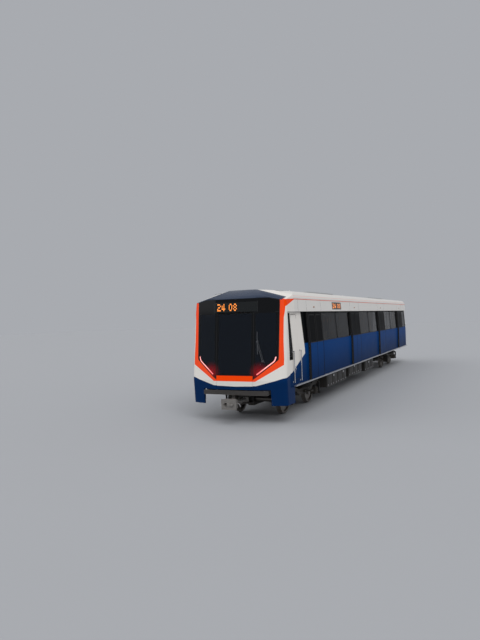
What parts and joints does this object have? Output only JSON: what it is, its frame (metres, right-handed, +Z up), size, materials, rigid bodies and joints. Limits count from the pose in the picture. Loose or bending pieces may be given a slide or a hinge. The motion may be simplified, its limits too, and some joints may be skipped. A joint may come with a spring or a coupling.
{
  "type": "metro car",
  "caption": "Metro cab car with a raked faceted nose, a drop-down nose door, outside-hung sliding side doors, two swivelling bogies and a coupler at the nose.",
  "frame": {"origin": "middle of the car's box, at the tips of the wheel flanges", "axes": "+X to the car's left side, +Y to its rear end, +Z up; the nose faces -Y"},
  "size_m": [3.12, 22, 3.8678],
  "materials": {
    "white_paint": "gloss paint",
    "side_paint": "gloss blue paint",
    "door_paint": "gloss blue paint",
    "orange_paint": "gloss orange paint",
    "apron_paint": "gloss blue paint",
    "dome_gloss": "dark gloss moulding",
    "dark_glass": "tinted glass",
    "lamp": "lamp and display lens",
    "roof_paint": "satin paint",
    "cooler_paint": "satin paint with grilles",
    "sill_aluminium": "satin",
    "handrail_steel": "satin",
    "pole_steel": "satin",
    "frame_steel": "dark satin paint",
    "anti_climber_steel": "worn dark paint",
    "case_paint": "satin paint",
    "bogie_paint": "dusty satin paint",
    "box_iron": "dusty casting",
    "drive_iron": "dusty casting",
    "spring_rubber": "matt",
    "wheel_steel": "machined tread, dusty web",
    "coupler_iron": "worn casting",
    "gangway_rubber": "folded bellows",
    "bulkhead_laminate": "laminate",
    "desk_plastic": "textured moulding",
    "driver_seat_fabric": "woven",
    "seat_plastic": "moulded seats",
    "wiper_black": "matt"
  },
  "bodies": {
    "car_body": {"underframe": "frame_steel", "side_wall_left": "side_paint", "side_wall_right": "side_paint", "roof": "roof_paint", "rear_end_wall": "white_paint", "gangway": "gangway_rubber", "cab_shell": "white_paint", "cab_mask_frame": "orange_paint", "cab_dome": "dome_gloss", "apron": "apron_paint", "anti_climber": "anti_climber_steel", "cab_bulkhead": "bulkhead_laminate", "driver_desk": "desk_plastic", "driver_seat": "driver_seat_fabric", "saloon_seats": "seat_plastic", "grab_poles": "pole_steel", "side_glass": "dark_glass", "windscreens": "dark_glass", "lamps_and_displays": "lamp", "wiper": "wiper_black", "cab_handrails": "handrail_steel", "air_conditioners": "cooler_paint", "underfloor_cases": "case_paint", "door_sills": "sill_aluminium"},
    "escape_door_leaf": {"escape_door": "white_paint", "escape_door_glass": "dark_glass"},
    "cab_door_left_leaf": {"cab_door_left": "white_paint"},
    "cab_door_right_leaf": {"cab_door_right": "white_paint"},
    "bulkhead_door_leaf": {"bulkhead_door": "bulkhead_laminate"},
    "door_1_left_front_leaf": {"door_1_left_front": "door_paint"},
    "door_1_left_rear_leaf": {"door_1_left_rear": "door_paint"},
    "door_1_right_front_leaf": {"door_1_right_front": "door_paint"},
    "door_1_right_rear_leaf": {"door_1_right_rear": "door_paint"},
    "door_2_left_front_leaf": {"door_2_left_front": "door_paint"},
    "door_2_left_rear_leaf": {"door_2_left_rear": "door_paint"},
    "door_2_right_front_leaf": {"door_2_right_front": "door_paint"},
    "door_2_right_rear_leaf": {"door_2_right_rear": "door_paint"},
    "door_3_left_front_leaf": {"door_3_left_front": "door_paint"},
    "door_3_left_rear_leaf": {"door_3_left_rear": "door_paint"},
    "door_3_right_front_leaf": {"door_3_right_front": "door_paint"},
    "door_3_right_rear_leaf": {"door_3_right_rear": "door_paint"},
    "door_4_left_front_leaf": {"door_4_left_front": "door_paint"},
    "door_4_left_rear_leaf": {"door_4_left_rear": "door_paint"},
    "door_4_right_front_leaf": {"door_4_right_front": "door_paint"},
    "door_4_right_rear_leaf": {"door_4_right_rear": "door_paint"},
    "front_coupler_head": {"front_coupler": "coupler_iron"},
    "rear_drawbar_arm": {"rear_drawbar": "coupler_iron"},
    "bogie_1": {"bogie_1_frame": "bogie_paint", "bogie_1_axleboxes": "box_iron", "bogie_1_springs": "spring_rubber", "bogie_1_drives": "drive_iron"},
    "wheelset_1_axle": {"wheelset_1": "wheel_steel"},
    "wheelset_2_axle": {"wheelset_2": "wheel_steel"},
    "bogie_2": {"bogie_2_frame": "bogie_paint", "bogie_2_axleboxes": "box_iron", "bogie_2_springs": "spring_rubber", "bogie_2_drives": "drive_iron"},
    "wheelset_3_axle": {"wheelset_3": "wheel_steel"},
    "wheelset_4_axle": {"wheelset_4": "wheel_steel"}
  },
  "joints": [
    {"name": "escape_door_drop", "type": "hinge", "parent": "car_body", "child": "escape_door_leaf", "pos_m": [0, -10.53471, 1.034], "axis": [1, 0, 0], "range_deg": [0, 96]},
    {"name": "cab_door_left_swing", "type": "hinge", "parent": "car_body", "child": "cab_door_left_leaf", "pos_m": [1.3513, -9.151, 2.028], "axis": [0, 0, -1], "range_deg": [0, 85]},
    {"name": "cab_door_right_swing", "type": "hinge", "parent": "car_body", "child": "cab_door_right_leaf", "pos_m": [-1.3513, -9.151, 2.028], "axis": [0, 0, 1], "range_deg": [0, 85]},
    {"name": "bulkhead_door_swing", "type": "hinge", "parent": "car_body", "child": "bulkhead_door_leaf", "pos_m": [-0.3, -8.6, 2.028], "axis": [0, 0, -1], "range_deg": [0, 90]},
    {"name": "door_1_left_front_slide", "type": "slide", "parent": "car_body", "child": "door_1_left_front_leaf", "axis": [0, -1, 0], "range_m": [0, 0.65]},
    {"name": "door_1_left_rear_slide", "type": "slide", "parent": "car_body", "child": "door_1_left_rear_leaf", "axis": [0, 1, 0], "range_m": [0, 0.65]},
    {"name": "door_1_right_front_slide", "type": "slide", "parent": "car_body", "child": "door_1_right_front_leaf", "axis": [0, -1, 0], "range_m": [0, 0.65]},
    {"name": "door_1_right_rear_slide", "type": "slide", "parent": "car_body", "child": "door_1_right_rear_leaf", "axis": [0, 1, 0], "range_m": [0, 0.65]},
    {"name": "door_2_left_front_slide", "type": "slide", "parent": "car_body", "child": "door_2_left_front_leaf", "axis": [0, -1, 0], "range_m": [0, 0.65]},
    {"name": "door_2_left_rear_slide", "type": "slide", "parent": "car_body", "child": "door_2_left_rear_leaf", "axis": [0, 1, 0], "range_m": [0, 0.65]},
    {"name": "door_2_right_front_slide", "type": "slide", "parent": "car_body", "child": "door_2_right_front_leaf", "axis": [0, -1, 0], "range_m": [0, 0.65]},
    {"name": "door_2_right_rear_slide", "type": "slide", "parent": "car_body", "child": "door_2_right_rear_leaf", "axis": [0, 1, 0], "range_m": [0, 0.65]},
    {"name": "door_3_left_front_slide", "type": "slide", "parent": "car_body", "child": "door_3_left_front_leaf", "axis": [0, -1, 0], "range_m": [0, 0.65]},
    {"name": "door_3_left_rear_slide", "type": "slide", "parent": "car_body", "child": "door_3_left_rear_leaf", "axis": [0, 1, 0], "range_m": [0, 0.65]},
    {"name": "door_3_right_front_slide", "type": "slide", "parent": "car_body", "child": "door_3_right_front_leaf", "axis": [0, -1, 0], "range_m": [0, 0.65]},
    {"name": "door_3_right_rear_slide", "type": "slide", "parent": "car_body", "child": "door_3_right_rear_leaf", "axis": [0, 1, 0], "range_m": [0, 0.65]},
    {"name": "door_4_left_front_slide", "type": "slide", "parent": "car_body", "child": "door_4_left_front_leaf", "axis": [0, -1, 0], "range_m": [0, 0.65]},
    {"name": "door_4_left_rear_slide", "type": "slide", "parent": "car_body", "child": "door_4_left_rear_leaf", "axis": [0, 1, 0], "range_m": [0, 0.65]},
    {"name": "door_4_right_front_slide", "type": "slide", "parent": "car_body", "child": "door_4_right_front_leaf", "axis": [0, -1, 0], "range_m": [0, 0.65]},
    {"name": "door_4_right_rear_slide", "type": "slide", "parent": "car_body", "child": "door_4_right_rear_leaf", "axis": [0, 1, 0], "range_m": [0, 0.65]},
    {"name": "front_coupler_swing", "type": "hinge", "parent": "car_body", "child": "front_coupler_head", "pos_m": [0, -9.8, 0.598], "axis": [0, 0, 1], "range_deg": [-15, 15]},
    {"name": "rear_drawbar_swing", "type": "hinge", "parent": "car_body", "child": "rear_drawbar_arm", "pos_m": [0, 10.33, 0.598], "axis": [0, 0, 1], "range_deg": [-12, 12]},
    {"name": "bogie_1_swivel", "type": "hinge", "parent": "car_body", "child": "bogie_1", "pos_m": [0, -7.55, 0.628], "axis": [0, 0, 1], "range_deg": [-4, 4]},
    {"name": "wheelset_1_spin", "type": "hinge", "parent": "bogie_1", "child": "wheelset_1_axle", "pos_m": [0, -8.7, 0.453], "axis": [1, 0, 0], "continuous": true},
    {"name": "wheelset_2_spin", "type": "hinge", "parent": "bogie_1", "child": "wheelset_2_axle", "pos_m": [0, -6.4, 0.453], "axis": [1, 0, 0], "continuous": true},
    {"name": "bogie_2_swivel", "type": "hinge", "parent": "car_body", "child": "bogie_2", "pos_m": [0, 7.55, 0.628], "axis": [0, 0, 1], "range_deg": [-4, 4]},
    {"name": "wheelset_3_spin", "type": "hinge", "parent": "bogie_2", "child": "wheelset_3_axle", "pos_m": [0, 6.4, 0.453], "axis": [1, 0, 0], "continuous": true},
    {"name": "wheelset_4_spin", "type": "hinge", "parent": "bogie_2", "child": "wheelset_4_axle", "pos_m": [0, 8.7, 0.453], "axis": [1, 0, 0], "continuous": true}
  ],
  "couplings": [
    {"joint": "door_1_left_rear_slide", "follows": "door_1_left_front_slide", "ratio": 1},
    {"joint": "door_1_right_rear_slide", "follows": "door_1_right_front_slide", "ratio": 1},
    {"joint": "door_2_left_rear_slide", "follows": "door_2_left_front_slide", "ratio": 1},
    {"joint": "door_2_right_rear_slide", "follows": "door_2_right_front_slide", "ratio": 1},
    {"joint": "door_3_left_rear_slide", "follows": "door_3_left_front_slide", "ratio": 1},
    {"joint": "door_3_right_rear_slide", "follows": "door_3_right_front_slide", "ratio": 1},
    {"joint": "door_4_left_rear_slide", "follows": "door_4_left_front_slide", "ratio": 1},
    {"joint": "door_4_right_rear_slide", "follows": "door_4_right_front_slide", "ratio": 1}
  ]
}
